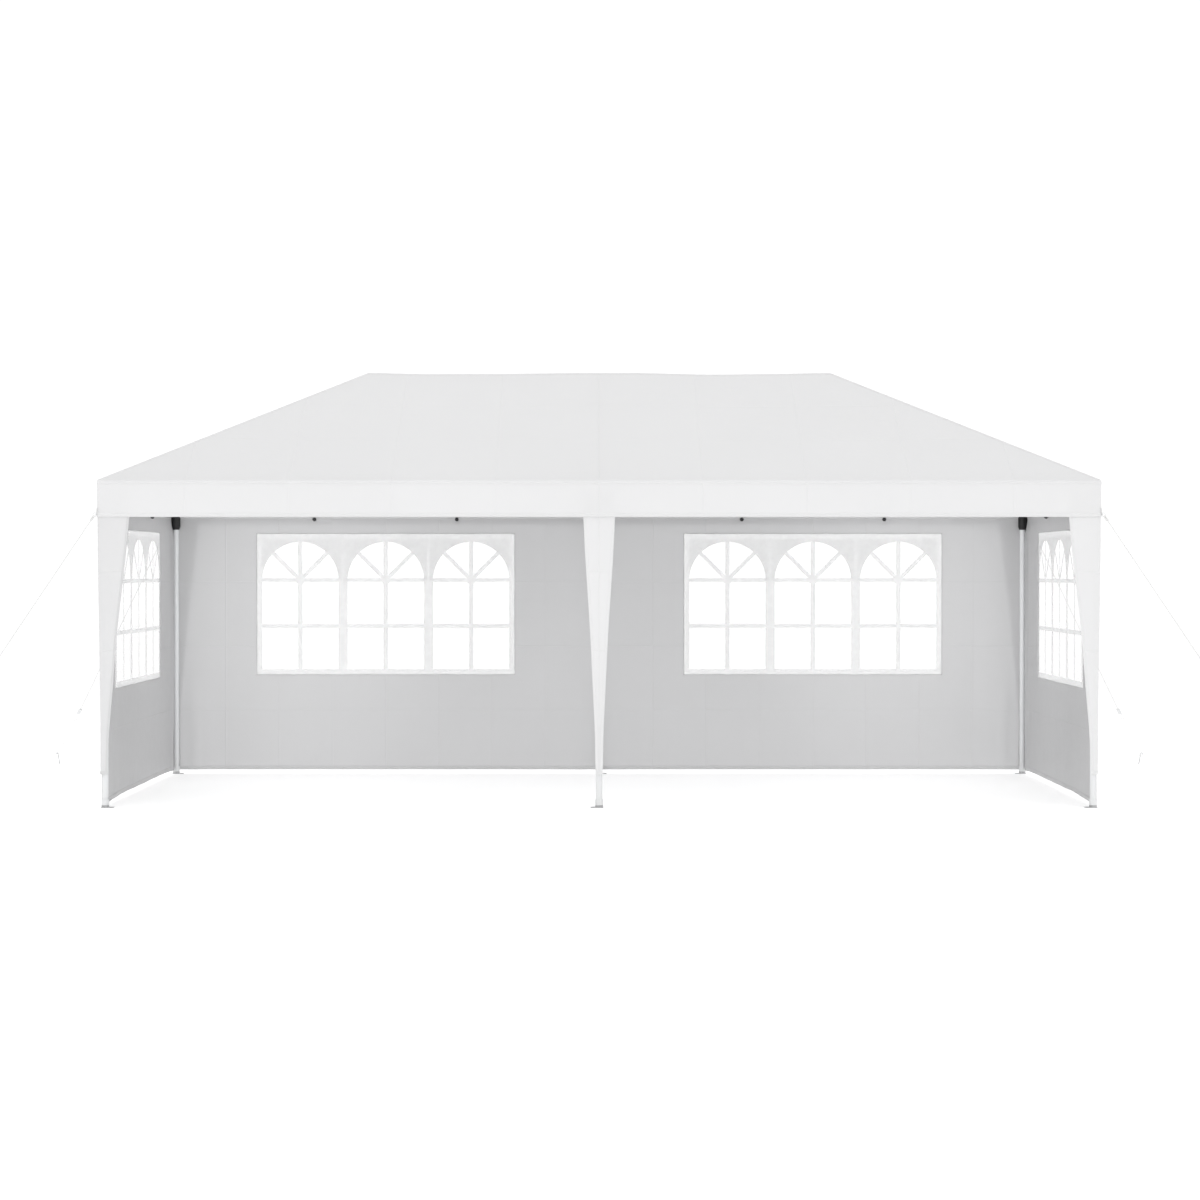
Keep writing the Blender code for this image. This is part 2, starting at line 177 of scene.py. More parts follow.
def pick(piece, kind, wanted):
    """Goes into edit mode with only the wanted vertices, edges or faces selected."""
    take(piece)
    bpy.ops.object.mode_set(mode="EDIT")
    bpy.ops.mesh.select_mode(type=kind)
    bpy.ops.mesh.select_all(action="DESELECT")
    bpy.ops.object.mode_set(mode="OBJECT")
    parts = {"VERT": piece.data.vertices, "EDGE": piece.data.edges, "FACE": piece.data.polygons}[kind]
    for part in parts:
        part.select = wanted(part)
    bpy.ops.object.mode_set(mode="EDIT")


def settle(piece):
    """Puts a piece's place, turn and size into its mesh."""
    take(piece)
    bpy.ops.object.transform_apply(location=True, rotation=True, scale=True)
    return piece


def build_in(piece, kind, **settings):
    """Adds a modifier and applies it."""
    take(piece)
    bpy.ops.object.modifier_add(type=kind)
    modifier = piece.modifiers[-1]
    for setting, value in settings.items():
        setattr(modifier, setting, value)
    bpy.ops.object.modifier_apply(modifier=modifier.name)
    return piece


def drop_faces(piece, unwanted):
    """Deletes the unwanted faces of a piece."""
    pick(piece, "FACE", unwanted)
    bpy.ops.mesh.delete(type="FACE")
    bpy.ops.object.mode_set(mode="OBJECT")


def work_over(piece, operator, **how):
    """Runs an edit mode operator on the whole of a piece."""
    take(piece)
    bpy.ops.object.mode_set(mode="EDIT")
    bpy.ops.mesh.select_all(action="SELECT")
    operator(**how)
    bpy.ops.object.mode_set(mode="OBJECT")


def outwards(piece):
    """Turns all faces outwards."""
    work_over(piece, bpy.ops.mesh.normals_make_consistent, inside=False)
    return piece


def soften(piece, degrees=35):
    """Shades a piece smooth but for its sharp edges."""
    take(piece)
    bpy.ops.object.shade_smooth_by_angle(angle=math.radians(degrees))
    return piece


def merge(name, pieces):
    """Joins pieces into one."""
    take(*pieces)
    bpy.ops.object.join()
    pieces[0].name = pieces[0].data.name = name
    return pieces[0]


def copy_of(piece, name, matrix):
    """A copy with its own mesh, placed by a matrix."""
    made = piece.copy()
    made.data = piece.data.copy()
    made.name = made.data.name = name
    bpy.context.scene.collection.objects.link(made)
    made.data.transform(matrix)
    if matrix.determinant() < 0:
        made.data.flip_normals()
    return made


def discard(*pieces):
    for piece in pieces:
        bpy.data.objects.remove(piece)


def block(name, low, high):
    """A box between two corners, as the start of a piece."""
    low, high = Vector(low), Vector(high)
    made = start(bpy.ops.mesh.primitive_cube_add, name, size=1, location=(low + high) / 2)
    made.scale = high - low
    return settle(made)


def cut(piece, cutters, operation="DIFFERENCE"):
    """Cuts or joins a piece with others, which are used up."""
    for cutter in cutters:
        build_in(piece, "BOOLEAN", operation=operation, solver="EXACT", object=cutter)
    discard(*cutters)
    return piece


def cord_along(name, points, radius):
    """A round cord along points, as a mesh."""
    curve = bpy.data.curves.new(name, "CURVE")
    curve.dimensions = "3D"
    curve.bevel_depth = radius
    curve.bevel_resolution = 1
    curve.use_fill_caps = True
    spline = curve.splines.new("POLY")
    spline.points.add(len(points) - 1)
    for spot, place in zip(spline.points, points):
        spot.co = (*place, 1)
    cord = bpy.data.objects.new(name, curve)
    bpy.context.scene.collection.objects.link(cord)
    take(cord)
    bpy.ops.object.convert(target="MESH")
    cord = bpy.context.object
    cord.name = cord.data.name = name
    build_in(cord, "WELD", merge_threshold=1e-6)
    return soften(outwards(cord))


def cut_sheet(name, us, vs, place):
    """A sheet of cloth with grid lines at us and vs, shaped by place(u, v). Its map is in metres."""
    sheet = start(
        bpy.ops.mesh.primitive_grid_add, name, size=2,
        x_subdivisions=len(us) - 1, y_subdivisions=len(vs) - 1,
    )
    spots = []
    for vertex in sheet.data.vertices:
        u = us[round((vertex.co.x + 1) / 2 * (len(us) - 1))]
        v = vs[round((vertex.co.y + 1) / 2 * (len(vs) - 1))]
        spots.append((u, v))
        vertex.co = place(u, v)
    chart = sheet.data.uv_layers.active
    chart.name = "cloth"
    for loop in sheet.data.loops:
        chart.uv[loop.index].vector = spots[loop.vertex_index]
    return sheet


def chart_middle(sheet, face):
    """The middle of a face on the flat cloth."""
    chart = sheet.data.uv_layers.active.uv
    return sum((chart[k].vector for k in face.loop_indices), Vector((0, 0))) / 4


def sewn_strip(us, vs, place, lengthways=False):
    """A folded strip sewn on a sheet. Its map runs along it and starts at its nearer long edge."""
    strip = cut_sheet("strip", us, vs, place)
    across = us if lengthways else vs
    for spot in strip.data.uv_layers.active.uv:
        u, v = spot.vector
        run, off = (v, u) if lengthways else (u, v)
        spot.vector = (run, min(abs(off - across[0]), abs(across[-1] - off)))
    return thicken(strip, HEM)


def thicken(sheet, thickness=CLOTH):
    """Gives a sheet its thickness, inwards from its outer face."""
    build_in(sheet, "SOLIDIFY", thickness=thickness, offset=-1, use_even_offset=True)
    return soften(outwards(sheet), 30)


def spread(low, high, step):
    """Evenly spaced values from low to high, about a step apart."""
    count = max(1, round((high - low) / step))
    return [low + (high - low) * k / count for k in range(count + 1)]


def ease(value, low, high):
    """Rises smoothly from 0 at low to 1 at high."""
    share = min(1.0, max(0.0, (value - low) / (high - low)))
    return share * share * (3 - 2 * share)


def ripple(*place):
    """Smooth noise between about -1 and 1."""
    return noise.noise(Vector(place))


def dress(piece, finish, slot, *nodes):
    """Gives a piece its finish, hangs it from the root body and hides the frame's parts it stands for. The
    slot is not used.
    """
    piece.data.materials.clear()
    piece.data.materials.append(finish)
    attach(piece, "root")
    if nodes:
        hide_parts(*nodes)
    return piece


# Finishes


class Wire:
    """A shader socket that can be used in sums."""

    def __init__(self, finish, socket):
        self.finish = finish
        self.socket = socket

    def sum(self, operation, *values):
        return self.finish.add("ShaderNodeMath", {"operation": operation}, dict(enumerate(values)))

    def rise(self, low, high):
        """0 below low and 1 above high, smooth between."""
        limits = {"Value": self, "From Min": low, "From Max": high}
        return self.finish.add("ShaderNodeMapRange", {"interpolation_type": "SMOOTHSTEP"}, limits)


def sum_of(operation, turned=False):
    """A method of Wire that makes one Math node, with its values in turned order if asked."""

    def method(wire, *others):
        values = (*others, wire) if turned else (wire, *others)
        return wire.sum(operation, *values)

    return method


WIRE_SUMS = {
    "__add__": "ADD", "__radd__": "ADD", "__sub__": "SUBTRACT", "__mul__": "MULTIPLY",
    "__truediv__": "DIVIDE", "__pow__": "POWER", "__abs__": "ABSOLUTE", "__lt__": "LESS_THAN",
    "sine": "SINE", "fraction": "FRACT", "smallest": "MINIMUM",
}
for method_name, operation in WIRE_SUMS.items():
    setattr(Wire, method_name, sum_of(operation))
Wire.__rsub__ = sum_of("SUBTRACT", turned=True)


class Finish:
    """A procedural material on a Principled shader."""

    def __init__(self, name, **fixed):
        self.material = bpy.data.materials.new(name)
        self.material.use_nodes = True
        self.tree = self.material.node_tree
        self.shader = self.tree.nodes["Principled BSDF"]
        for socket, value in fixed.items():
            self.shader.inputs[socket.replace("_", " ")].default_value = value

    def add(self, kind, settings=None, inputs=None, output=0):
        """One node: its settings first, then the values or links of its sockets."""
        node = self.tree.nodes.new(kind)
        for setting, value in (settings or {}).items():
            setattr(node, setting, value)
        for socket, value in (inputs or {}).items():
            self.feed(node.inputs[socket], value)
        return Wire(self, node.outputs[output])

    def feed(self, socket, value):
        if isinstance(value, Wire):
            self.tree.links.new(value.socket, socket)
        else:
            socket.default_value = value

    def set(self, **sockets):
        for socket, value in sockets.items():
            self.feed(self.shader.inputs[socket.replace("_", " ")], value)
        return self

    def place(self):
        """The spot on the object, in metres."""
        return self.add("ShaderNodeTexCoord", output="Object")

    def along_cloth(self):
        """The spot on the flat cloth, in metres."""
        return self.add("ShaderNodeUVMap", {"uv_map": "cloth"})

    def parts(self, vector):
        """The three values of a vector."""
        node = self.tree.nodes.new("ShaderNodeSeparateXYZ")
        self.feed(node.inputs[0], vector)
        return [Wire(self, socket) for socket in node.outputs]

    def stretch(self, vector, *factors):
        """A vector scaled along each axis."""
        return self.add("ShaderNodeVectorMath", {"operation": "MULTIPLY"}, {0: vector, 1: factors})

    def cloud(self, vector, scale, detail=3.0, roughness=0.5):
        """Noise from 0 to 1."""
        values = {"Vector": vector, "Scale": scale, "Detail": detail, "Roughness": roughness}
        return self.add("ShaderNodeTexNoise", None, values)

    def blend(self, share, first, second):
        """A colour between two, by a share."""
        ends = [(*end, 1) if isinstance(end, tuple) else end for end in (first, second)]
        values = {0: share, 6: ends[0], 7: ends[1]}
        return self.add("ShaderNodeMix", {"data_type": "RGBA"}, values, output=2)

    def relief(self, height):
        """Feeds a bump whose height is in metres."""
        bump = self.add("ShaderNodeBump", None, {"Height": height, "Distance": 1.0, "Strength": 1.0})
        return self.set(Normal=bump)


def crease(value, pitch, width):
    """A soft line at every pitch."""
    off = abs((value / pitch + 0.5).fraction() - 0.5) * pitch
    return 1 - off.rise(0.0, width)


def woven_cloth(name, colour, shade, fold_across, fold_up, stitched=None, through=0.10):
    """Coated woven polyethylene: fine flat tapes under a smooth film, with folds from its packing."""
    finish = Finish(
        name, Coat_Weight=0.08, Coat_Roughness=0.35, Specular_IOR_Level=0.3,
        Subsurface_Weight=through, Subsurface_Scale=0.004, Subsurface_Radius=(1.0, 1.0, 1.0),
    )
    cloth = finish.along_cloth()
    u, v, _ = finish.parts(cloth)
    place = finish.place()
    tape = 0.0024
    stitch = 0.005
    fold_line = 0.007
    across = (u * (math.pi / tape)).sine() ** 2
    upward = (v * (math.pi / tape)).sine() ** 2
    over = finish.add("ShaderNodeTexChecker", None, {"Vector": cloth, "Scale": 1 / tape}, output=1)
    weave = across * over + upward * (1 - over)
    folds = crease(u, fold_across, fold_line) + crease(v, fold_up, fold_line)
    broad = finish.cloud(place, 1.3, 2.0)
    fine = finish.cloud(place, 14.0, 4.0, 0.6)
    height = weave * 0.00008 + folds * 0.0009 + broad * 0.012 + fine * 0.0011
    tint = finish.blend(broad, tuple(c * shade for c in colour), colour)
    rough = 0.44 + fine * 0.16
    if stitched:
        row = abs(v - stitched[0])
        for other in stitched[1:]:
            row = row.smallest(abs(v - other))
        dash = (u / stitch).fraction().rise(0.2, 0.3) * (1 - (u / stitch).fraction().rise(0.75, 0.85))
        thread = (1 - row.rise(0.0004, 0.0009)) * dash
        height = height - (1 - row.rise(0.001, 0.0035)) * 0.0006 + thread * 0.0005
        tint = finish.blend(thread * 0.5, tint, tuple(c * 0.8 for c in colour))
    finish.relief(height)
    return finish.set(Base_Color=tint, Roughness=rough).material


def powder_coat(name, plate_height=None):
    """White baked powder coat on steel: faint orange peel and small scuffs. A foot's base is bare zinc."""
    coat, scuffed, dusty = (0.755, 0.765, 0.775), (0.64, 0.65, 0.66), (0.66, 0.65, 0.62)
    zinc, dull_zinc = (0.52, 0.525, 0.53), (0.40, 0.40, 0.405)
    gloss = 0.15
    finish = Finish(name, Coat_Roughness=0.2)
    place = finish.place()
    peel = finish.cloud(place, 900.0, 2.0)
    scuff = finish.cloud(finish.stretch(place, 60, 60, 6), 1.0, 5.0, 0.7).rise(0.60, 0.74)
    cloud = finish.cloud(place, 7.0, 3.0)
    _, _, height = finish.parts(place)
    dust = (1 - height.rise(0.0, 0.25)) * cloud
    clean = finish.blend(scuff * 0.35, coat, scuffed)
    colour = finish.blend(dust * 0.4, clean, dusty)
    rough = 0.3 + cloud * 0.12 + scuff * 0.2
    if plate_height:
        bare = height < plate_height
        dull = finish.cloud(place, 55.0, 4.0, 0.65).rise(0.4, 0.7)
        colour = finish.blend(bare, colour, finish.blend(dull, zinc, dull_zinc))
        rough = rough + bare * 0.12
        finish.set(Metallic=bare * 0.3, Coat_Weight=gloss - bare * gloss)
    else:
        finish.set(Coat_Weight=gloss)
    finish.set(Base_Color=colour, Roughness=rough)
    return finish.relief(peel * 0.00004 - scuff * 0.00003).material


def moulded_plastic(name, colour, scale=1500.0):
    """Moulded plastic with a fine grain and slightly dulled high spots."""
    finish = Finish(name, Specular_IOR_Level=0.35)
    place = finish.place()
    grain = finish.cloud(place, scale, 2.0)
    worn = finish.cloud(place, 22.0, 4.0, 0.6).rise(0.5, 0.8)
    finish.set(Base_Color=finish.blend(worn, colour, tuple(0.015 + 1.3 * c for c in colour)))
    finish.set(Roughness=0.42 + grain * 0.1 + worn * 0.12)
    return finish.relief(grain * 0.00006).material


def zinc_plate():
    """Zinc plated steel with a faint spangle and dulled patches."""
    finish = Finish("zinc_plate", Metallic=0.85)
    place = finish.place()
    spangle = finish.add("ShaderNodeTexVoronoi", None, {"Vector": place, "Scale": 160.0}, output=1)
    _, tone, _ = finish.parts(spangle)
    dull = finish.cloud(place, 40.0, 4.0, 0.65).rise(0.42, 0.7)
    bright = finish.blend(tone * 0.6, (0.62, 0.63, 0.64), (0.74, 0.75, 0.76))
    finish.set(Base_Color=finish.blend(dull, bright, (0.48, 0.48, 0.48)))
    finish.set(Roughness=0.34 + dull * 0.28 + tone * 0.08)
    return finish.relief(finish.cloud(place, 700.0, 2.0) * 0.00005).material


def clear_film():
    """Clear window film with faint scratches and soft waves."""
    finish = Finish("clear_window_film", Alpha=0.06, Specular_IOR_Level=0.6)
    place = finish.place()
    haze = finish.cloud(place, 5.0, 3.0)
    streak = finish.cloud(finish.stretch(place, 3, 3, 45), 2.0, 4.0, 0.6)
    finish.set(Base_Color=finish.blend(haze, (0.86, 0.88, 0.90), (0.95, 0.96, 0.97)))
    finish.set(Roughness=0.06 + haze * 0.1)
    return finish.relief(haze * 0.01 + streak * 0.0006).material


def window_print(name, colour, cover):
    """White ink printed on the film: matt, slightly uneven, and letting some light through."""
    finish = Finish(
        name, Roughness=0.55, Subsurface_Weight=1.0, Subsurface_Scale=0.004,
        Subsurface_Radius=(1.0, 1.0, 1.0),
    )
    place = finish.place()
    uneven = finish.cloud(place, 30.0, 4.0, 0.6)
    dots = finish.cloud(place, 800.0, 2.0)
    finish.set(Base_Color=finish.blend(uneven, tuple(0.96 * c for c in colour), colour))
    finish.set(Alpha=cover - 0.05 + uneven * 0.1, Roughness=0.5 + uneven * 0.12)
    return finish.relief(dots * 0.00005).material


def rope_yarn(name, colour, pitch):
    """Twisted or braided synthetic yarn."""
    finish = Finish(name, Sheen_Weight=0.3, Roughness=0.75)
    place = finish.place()
    fuzz = finish.cloud(place, 1200.0, 3.0, 0.7)
    strand = finish.cloud(place, pitch, 2.0)
    finish.set(Base_Color=finish.blend(strand, tuple(0.8 * c for c in colour), colour))
    finish.set(Roughness=0.68 + fuzz * 0.2)
    return finish.relief(fuzz * 0.00025).material


def webbing():
    """Flat woven webbing with a ribbed face."""
    finish = Finish("webbing_white", Roughness=0.8, Sheen_Weight=0.2)
    x, y, z = finish.parts(finish.place())
    ribs = (z * 3600.0).sine() * ((x + y) * 2600.0).sine()
    # The tone follows the ribs' relief, darker in the hollows: painted shade.
    finish.set(Base_Color=finish.blend(ribs * 0.5 + 0.5, (0.66, 0.66, 0.66), (0.78, 0.78, 0.78)))
    finish.set(Roughness=0.75 + ribs * 0.06)
    return finish.relief(ribs * 0.00015).material


def floor_finish():
    """Plain pale floor with the faintest unevenness."""
    finish = Finish("pale_floor", Roughness=0.9, Emission_Strength=0.45)
    place = finish.place()
    tone = finish.cloud(place, 0.6, 3.0)
    x, y, _ = finish.parts(place)
    far = ((x**2 + y**2) ** 0.5).rise(7.0, 15.0)
    finish.set(Emission_Color=finish.blend(far, (1.0, 1.0, 1.0), (0.45, 0.45, 0.45)))
    return finish.set(Base_Color=finish.blend(tone, (0.80, 0.80, 0.80), (0.83, 0.83, 0.83))).material


WALL_THROUGH = 0.35
# Share of the colour in darker patches, pitch of the folds across and up, and a hem's stitch rows
ROOF_FOLDS = (0.965, 0.62, 0.47)
WALL_FOLDS = (0.965, 0.373, 0.446)
HEM_FOLDS = (0.97, 3.1, 3.3, (0.0035, 0.0085))
ROOF_CLOTH = woven_cloth("roof_cloth", (0.76, 0.76, 0.765), *ROOF_FOLDS)
# The hems and seams are a lighter copy of the roof cloth, to undo how dark they render: painted light.
ROOF_HEM = woven_cloth("roof_hem", (0.82, 0.82, 0.825), *HEM_FOLDS)
# Darker copies of the roof cloth and hem, used on the left leg covers alone: painted shade.
LEFT_COVER_SHADED_CLOTH = woven_cloth("corner_cloth", (0.71, 0.71, 0.715), *ROOF_FOLDS)
LEFT_COVER_SHADED_HEM = woven_cloth("left_cover_shaded_hem", (0.69, 0.69, 0.695), *HEM_FOLDS)
# The walls are the roof's white cloth made darker: painted shade of the tent's inside.
SHADED_WALL_CLOTH = woven_cloth("wall_cloth", (0.59, 0.59, 0.595), *WALL_FOLDS, through=WALL_THROUGH)
# The end walls' copy is darker again: painted shade.
SHADED_END_CLOTH = woven_cloth("end_cloth", (0.49, 0.49, 0.495), *WALL_FOLDS, through=WALL_THROUGH)
# The wall hems are lighter than their cloth: painted light; the end walls' hem is darker than the back
# walls': painted shade.
WALL_HEM = woven_cloth("wall_hem", (0.70, 0.70, 0.705), *HEM_FOLDS, WALL_THROUGH)
SHADED_END_HEM = woven_cloth("end_hem", (0.565, 0.565, 0.57), *HEM_FOLDS, WALL_THROUGH)
WHITE_STEEL = powder_coat("powder_coat_white")
FOOT_STEEL = powder_coat("foot_steel", plate_height=0.016)
BLACK_PLASTIC = moulded_plastic("black_moulding", (0.011, 0.011, 0.012))
BALL_PLASTIC = moulded_plastic("bungee_ball_black", (0.03, 0.03, 0.032), 900.0)
ZINC = zinc_plate()
FILM = clear_film()
BAR_PRINT = window_print("window_bar_print", (0.71, 0.71, 0.715), 0.52)
BORDER_PRINT = window_print("window_border_print", (0.73, 0.73, 0.735), 0.50)
SPANDREL_PRINT = window_print("window_spandrel_print", (0.60, 0.60, 0.605), 0.60)
ROPE = rope_yarn("guy_rope_yarn", (0.88, 0.88, 0.875), 500.0)
ELASTIC = rope_yarn("bungee_elastic", (0.74, 0.74, 0.74), 900.0)
WEBBING = webbing()


# Roof


def roof_height(x, y):
    """Height of the roof cloth's outer face, sagging a little between the tubes it lies on."""
    from_side = HALF_DEPTH - abs(y)
    from_end = HALF_LENGTH - abs(x)
    rise = min(from_side, from_end)
    up = rise / HALF_DEPTH
    if from_side <= from_end:
        across = abs(x) / (RIDGE_HALF + abs(y))
        slack = 4 * across * (1 - across)
    else:
        across = abs(y) / (abs(x) - RIDGE_HALF)
        slack = 1 - across**2
    height = EAVE_HEIGHT + rise * SLOPE
    height -= ROOF_SAG * slack * 4 * up * (1 - up)
    if abs(x) < RIDGE_HALF:
        along = abs(x) / RIDGE_HALF
        dip = ease(along, 0.12, 0.5) * (1 - ease(along, 0.72, 0.98))
        height -= RIDGE_DIP * dip * ease(up, 0.6, 1.0)
    tight = ease(rise, 0.0, 0.25) * slack
    height += 0.004 * tight * ripple(x * 1.9, y * 1.9, 0.3)
    return height


def eave_flare(along, half, drop):
    """How far the hanging valance stands out, in soft flutes that die away at the corners."""
    free = ease(half - abs(along), 0.0, 0.35)
    flute = 0.5 + 0.7 * ripple(along * 2.7, half, 1.7) + 0.3 * ripple(along * 8.0, half, 5.1)
    return VALANCE_FLARE * free * max(0.0, flute) * (drop / VALANCE_DROP) ** 1.3


def roof_place(x, y, lift=0.0):
    """A spot of the roof cover, where x or y past the eave runs down the valance."""
    over_x = max(0.0, abs(x) - HALF_LENGTH)
    over_y = max(0.0, abs(y) - HALF_DEPTH)
    drop = max(over_x, over_y)
    if drop < 1e-6:
        tilt = lift / math.cos(math.atan(SLOPE))
        return Vector((x, y, roof_height(x, y) + tilt))
    x_in = math.copysign(min(abs(x), HALF_LENGTH), x)
    y_in = math.copysign(min(abs(y), HALF_DEPTH), y)
    if over_y >= over_x:
        out = lift + eave_flare(x_in, HALF_LENGTH, drop)
        return Vector((x_in, y_in + math.copysign(out, y), EAVE_HEIGHT - drop))
    out = lift + eave_flare(y_in, HALF_DEPTH, drop)
    return Vector((x_in + math.copysign(out, x), y_in, EAVE_HEIGHT - drop))


def roof_lines(half):
    """Grid lines over the roof from one valance's hem to the other's."""
    flat = spread(-half, half, ROOF_CELL)
    down = [half + drop for drop in VALANCE_ROWS]
    return [-line for line in reversed(down)] + flat + down


def is_hip(x, y):
    return abs((HALF_LENGTH - abs(x)) - (HALF_DEPTH - abs(y))) < 1e-4


def make_roof():
    """The roof cover and its valance, cut as one sheet."""
    spare = HALF_LENGTH + 1e-4, HALF_DEPTH + 1e-4
    flat = {}

    def place(x, y):
        spot = roof_place(x, y)
        flat[spot.to_tuple(5)] = (x, y)
        return spot

    cover = cut_sheet("roof_cloth", roof_lines(HALF_LENGTH), roof_lines(HALF_DEPTH), place)

    def past_corner(face):
        middle = chart_middle(cover, face)
        return abs(middle.x) > spare[0] and abs(middle.y) > spare[1]

    drop_faces(cover, past_corner)
    work_over(cover, bpy.ops.mesh.remove_doubles, threshold=1e-5)
    hip_spots = {
        spot for spot, (x, y) in flat.items()
        if abs(x) <= spare[0] and abs(y) <= spare[1] and is_hip(x, y)
    }
    pick(cover, "VERT", lambda vertex: vertex.co.to_tuple(5) in hip_spots)
    bpy.ops.mesh.vert_connect()

    def on_rim(vertex):
        at_end = abs(abs(vertex.co.x) - HALF_LENGTH) < 1e-4
        at_side = abs(abs(vertex.co.y) - HALF_DEPTH) < 1e-4
        eave = abs(vertex.co.z - EAVE_HEIGHT) < 1e-4 and (at_end or at_side)
        return eave, at_end and at_side

    def eave_edge(edge):
        first, second = (on_rim(cover.data.vertices[k]) for k in edge.vertices)
        return (first[0] and second[0]) or (first[1] and second[1])

    pick(cover, "EDGE", eave_edge)
    bpy.ops.mesh.bevel(offset=0.005, segments=3)
    return thicken(cover)


def lay_strip(first, second, width, lift):
    """A narrow sewn strip over the roof between two spots of its plan, folded over the crest."""
    run = second - first
    along = run.normalized()
    side = Vector((-along.y, along.x))
    half = width / 2

    def place(u, v):
        spot = first + along * u + side * v
        edge = abs(v) / half
        return roof_place(spot.x, spot.y, lift * (1 - 0.35 * edge**4))

    across = [-half, -half * 0.6, -half * 0.25, 0.0, half * 0.25, half * 0.6, half]
    return sewn_strip(spread(0.0, run.length, ROOF_CELL), across, place)


def make_roof_seams():
    """Folded seams over the four hips and the ridge."""
    strips = []
    inner = 0.012
    for sy in SIDES.values():
        for sx in ENDS.values():
            eave = Vector((sx * (HALF_LENGTH - inner), sy * (HALF_DEPTH - inner)))
            strips.append(lay_strip(eave, Vector((sx * RIDGE_HALF, 0.0)), *HIP_SEAM))
    strips.append(lay_strip(Vector((-RIDGE_HALF, 0.0)), Vector((RIDGE_HALF, 0.0)), *RIDGE_SEAM))
    return merge("roof_seams", strips)


def make_valance_hem():
    """The folded hem along the bottom of the valance, and the seam where it is sewn to the roof."""
    strips = []
    lift = 0.0009
    past_edge = 0.0004
    corner_gap = 0.004
    hem_rows = [VALANCE_DROP + past_edge - part for part in (0.024, 0.018, 0.012, 0.006, 0.0)]
    seam_rows = [0.012, 0.018, 0.024]
    for rows in (hem_rows, seam_rows):
        for side in SIDES.values():
            def front(u, v, side=side):
                return roof_place(side * -u, side * (HALF_DEPTH + v), lift)

            def end(u, v, side=side):
                return roof_place(side * (HALF_LENGTH + v), side * u, lift)

            for place, half in ((front, HALF_LENGTH - corner_gap), (end, HALF_DEPTH - corner_gap)):
                strips.append(sewn_strip(spread(-half, half, ROOF_CELL), rows[::-1], place))
    return merge("valance_hem", strips)


# Leg covers


def cover_width(height):
    """A flap's width: tapered under the valance, and drawn in a little at its waist."""
    down = max(0.0, (VALANCE_BOTTOM - height) / (VALANCE_BOTTOM - COVER_LOW.z))
    waist = COVER_WAIST * ease(down, 0.1, 0.5) * (1 - ease(down, 0.8, 1.05))
    return COVER_WIDE + down * (COVER_NARROW - COVER_WIDE) - waist


def lean(height):
    """How far hanging cloth is drawn in towards the legs, the more the lower it hangs."""
    return COVER_LEAN * ease(VALANCE_BOTTOM - height, 0.0, 1.3)


def cover_bulge(share, height, seed):
    """How far a cover's cloth stands out from its leg, all of it under the valance."""
    free = ease(VALANCE_BOTTOM - height, 0.0, 0.5) * (1 - ease(0.5 - height, 0.1, 0.3) * 0.5)
    wave = 0.5 + 0.6 * ripple(height * 2.3, share * 0.9, seed)
    return 0.0045 * free * max(0.0, wave) * (1 - 0.4 * share * share)


def corner_cover_place(sx, sy):
    """Maps a share across both flaps, and a height, to a spot of a corner's cover."""
    turn = -sx * sy

    def place(share, height, lift=0.0):
        corner_x, corner_y = sx * (COVER_X - lean(height)), sy * (COVER_Y - lean(height))
        across = share * turn
        reach = abs(across) * cover_width(height)
        seed = 3.0 * sx + 7.0 * sy + (1.0 if across > 0 else 0.0)
        out = lift + cover_bulge(abs(across), height, seed) * ease(abs(across), 0.0, 0.3)
        if across <= 0:
            return Vector((corner_x - sx * reach, corner_y + sy * out, height))
        return Vector((corner_x + sx * out, corner_y - sy * reach, height))

    return place


def middle_cover_place(sy):
    def place(share, height, lift=0.0):
        out = lift + cover_bulge(share, height, 20.0 + sy) - lean(height)
        return Vector((-sy * share * cover_width(height) / 2, sy * (COVER_Y + out), height))

    return place


def make_cover(name, place, half, corner):
    """A tapered cover with narrow folded hems at its free edges."""
    heights = spread(COVER_LOW.z, COVER_HIGH.z, (COVER_HIGH.z - COVER_LOW.z) / COVER_ROWS)
    cells = 16 if corner else 10
    cover = cut_sheet(name, spread(-1.0, 1.0, 2 / cells), heights, place)
    for loop, spot in zip(cover.data.loops, cover.data.uv_layers.active.uv):
        spot.vector.x *= half
    thicken(cover)
    hems = []
    hem_width = 0.014
    for sign in (-1, 1):
        def edge_place(u, v, sign=sign):
            return place(sign * (1 - (hem_width - u) / (cover_width(v) * half / COVER_WIDE)), v, HEM * 1.1)

        across = spread(0.0, hem_width, hem_width / 2)
        if sign < 0:
            across = across[::-1]
        hems.append(sewn_strip(across, heights, edge_place, lengthways=True))
    lower = [COVER_LOW.z, COVER_LOW.z + 0.01, COVER_LOW.z + 0.02]
    wide = spread(-0.99, 0.99, 2 / cells)
    hems.append(sewn_strip(wide, lower, lambda u, v: place(u, v, HEM * 2.2)))
    return cover, merge(name + "_hem", hems)


# Walls


